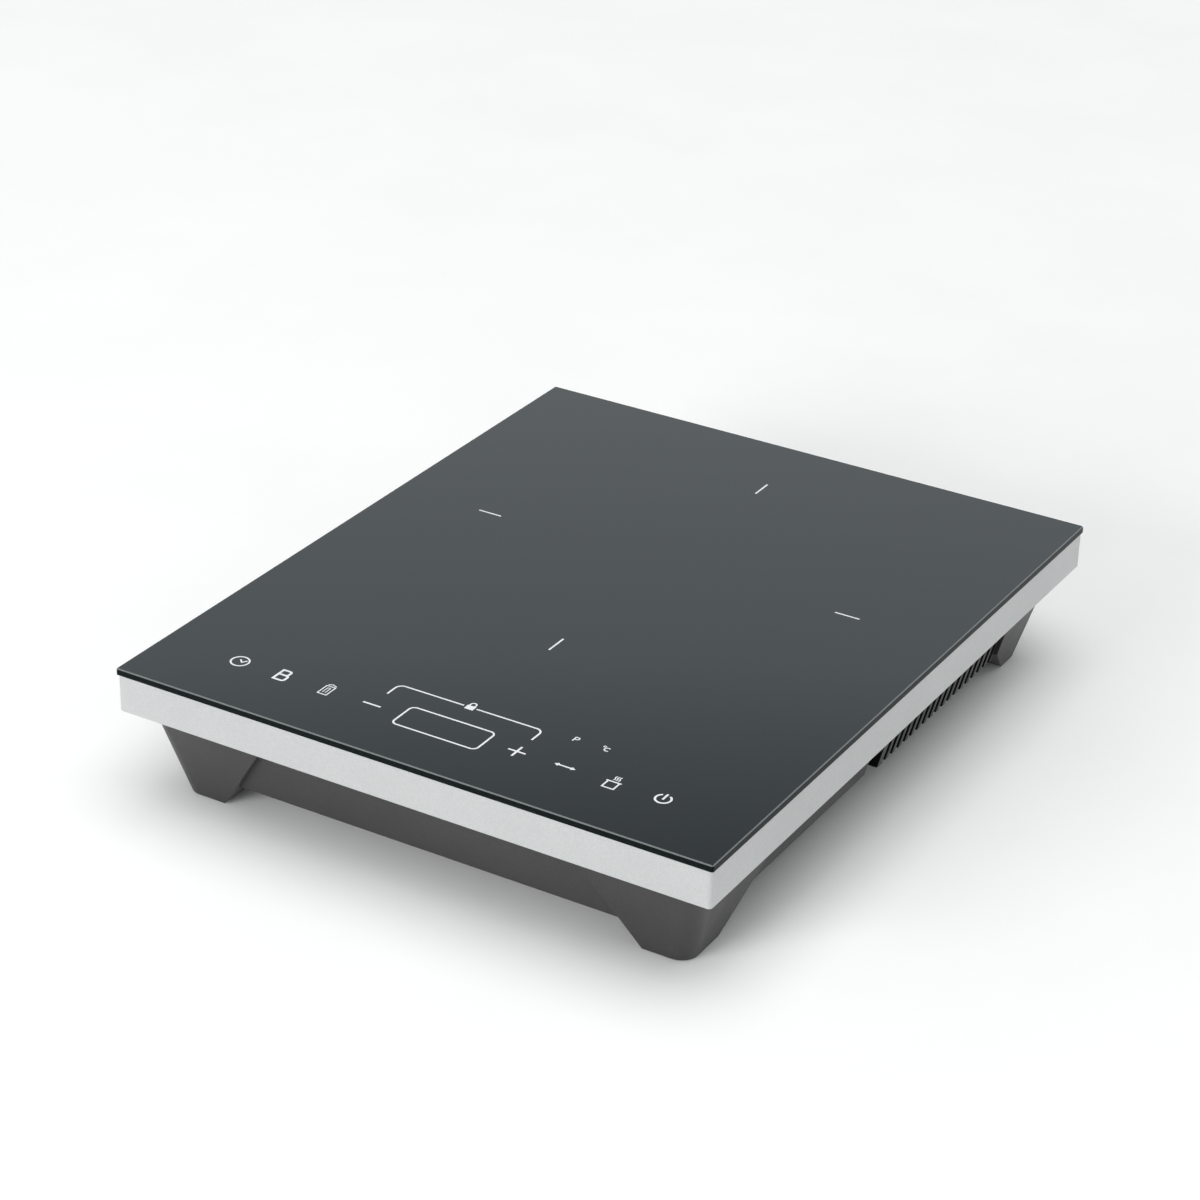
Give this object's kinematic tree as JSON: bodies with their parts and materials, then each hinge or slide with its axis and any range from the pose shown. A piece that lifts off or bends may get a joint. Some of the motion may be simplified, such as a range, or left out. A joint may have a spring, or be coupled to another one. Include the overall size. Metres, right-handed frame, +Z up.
{
  "type": "induction cooktop",
  "caption": "Portable countertop induction cooktop: black glass top with a touch-key row, silver frame band, dark base on tapered legs, side vents, and a coil, fan and boards inside.",
  "frame": {"origin": "centre of the footprint, on the surface the foot pads stand on", "axes": "+X towards the right when facing the key row, +Y from the key row towards the rear, +Z up"},
  "size_m": [0.29, 0.3566, 0.0636],
  "materials": {
    "black_glass": "gloss",
    "silver_band": "satin",
    "housing_plastic": "matte",
    "pad_rubber": "matte",
    "seal_silicone": "matte",
    "plated_steel": "satin",
    "screw_steel": "satin",
    "former_plastic": "matte",
    "ferrite": "matte",
    "litz_wire": "satin",
    "mica": "satin",
    "lead_sleeve": "matte",
    "holder_silicone": "matte",
    "sensor_epoxy": "gloss",
    "fan_plastic": "satin",
    "bearing_bronze": "satin",
    "shaft_steel": "polished",
    "magnet_ferrite": "matte",
    "core_steel": "satin",
    "magnet_wire": "gloss",
    "board_laminate": "satin",
    "wire_insulation": "satin",
    "heatsink_aluminium": "satin",
    "package_epoxy": "satin",
    "film_capacitor_shell": "satin",
    "capacitor_sleeve": "satin",
    "choke_core": "satin",
    "transformer_tape": "satin",
    "fuse_glass": "gloss",
    "tinned_brass": "satin",
    "varistor_coat": "satin",
    "connector_nylon": "satin",
    "display_epoxy": "gloss",
    "lamp_epoxy": "gloss",
    "spring_steel": "satin",
    "ribbon_insulation": "satin"
  },
  "bodies": {
    "chassis": {"glass_top": "black_glass", "frame_band": "silver_band", "glass_seal": "seal_silicone", "screw_lugs": "plated_steel", "lug_rivets": "plated_steel", "housing_screws": "screw_steel", "base_housing": "housing_plastic", "foot_pads": "pad_rubber", "side_vent_right": "housing_plastic", "side_vent_left": "housing_plastic", "intake_grille": "housing_plastic", "cord_inlet_bushing": "pad_rubber", "cord_clamp": "housing_plastic", "coil_former": "former_plastic", "ferrite_bars": "ferrite", "coil_screws": "screw_steel", "coil_winding": "litz_wire", "mica_sheet": "mica", "coil_leads": "lead_sleeve", "thermistor_holder": "holder_silicone", "glass_thermistor": "sensor_epoxy", "fan_frame": "fan_plastic", "fan_bearing": "bearing_bronze", "fan_screws": "screw_steel", "fan_stator_core": "core_steel", "fan_windings": "magnet_wire", "fan_motor_board": "board_laminate", "signal_leads": "wire_insulation", "power_board": "board_laminate", "board_and_clamp_screws": "screw_steel", "heatsink": "heatsink_aluminium", "heatsink_screws": "screw_steel", "heatsink_thermistor": "sensor_epoxy", "igbt": "package_epoxy", "bridge_rectifier": "package_epoxy", "filter_capacitor": "film_capacitor_shell", "resonance_capacitor": "film_capacitor_shell", "suppression_capacitor": "film_capacitor_shell", "electrolytic_capacitors": "capacitor_sleeve", "line_choke": "choke_core", "transformer": "transformer_tape", "fuse": "fuse_glass", "fuse_clips": "tinned_brass", "varistor": "varistor_coat", "buzzer": "package_epoxy", "driver_chips": "package_epoxy", "coil_terminals": "tinned_brass", "mains_terminal_block": "connector_nylon", "board_connectors": "connector_nylon", "control_board_holder": "former_plastic", "control_board": "board_laminate", "control_screws": "screw_steel", "display_module": "display_epoxy", "indicator_lamps": "lamp_epoxy", "light_tubes": "fan_plastic", "touch_springs": "spring_steel", "ribbon_cable": "ribbon_insulation"},
    "fan_spinner": {"fan_rotor": "fan_plastic", "fan_shaft": "shaft_steel", "fan_magnet": "magnet_ferrite"}
  },
  "joints": [
    {"name": "fan_spin", "type": "hinge", "parent": "chassis", "child": "fan_spinner", "pos_m": [-0.072, 0.088, 0.0272], "axis": [0, 0, 1], "continuous": true}
  ]
}
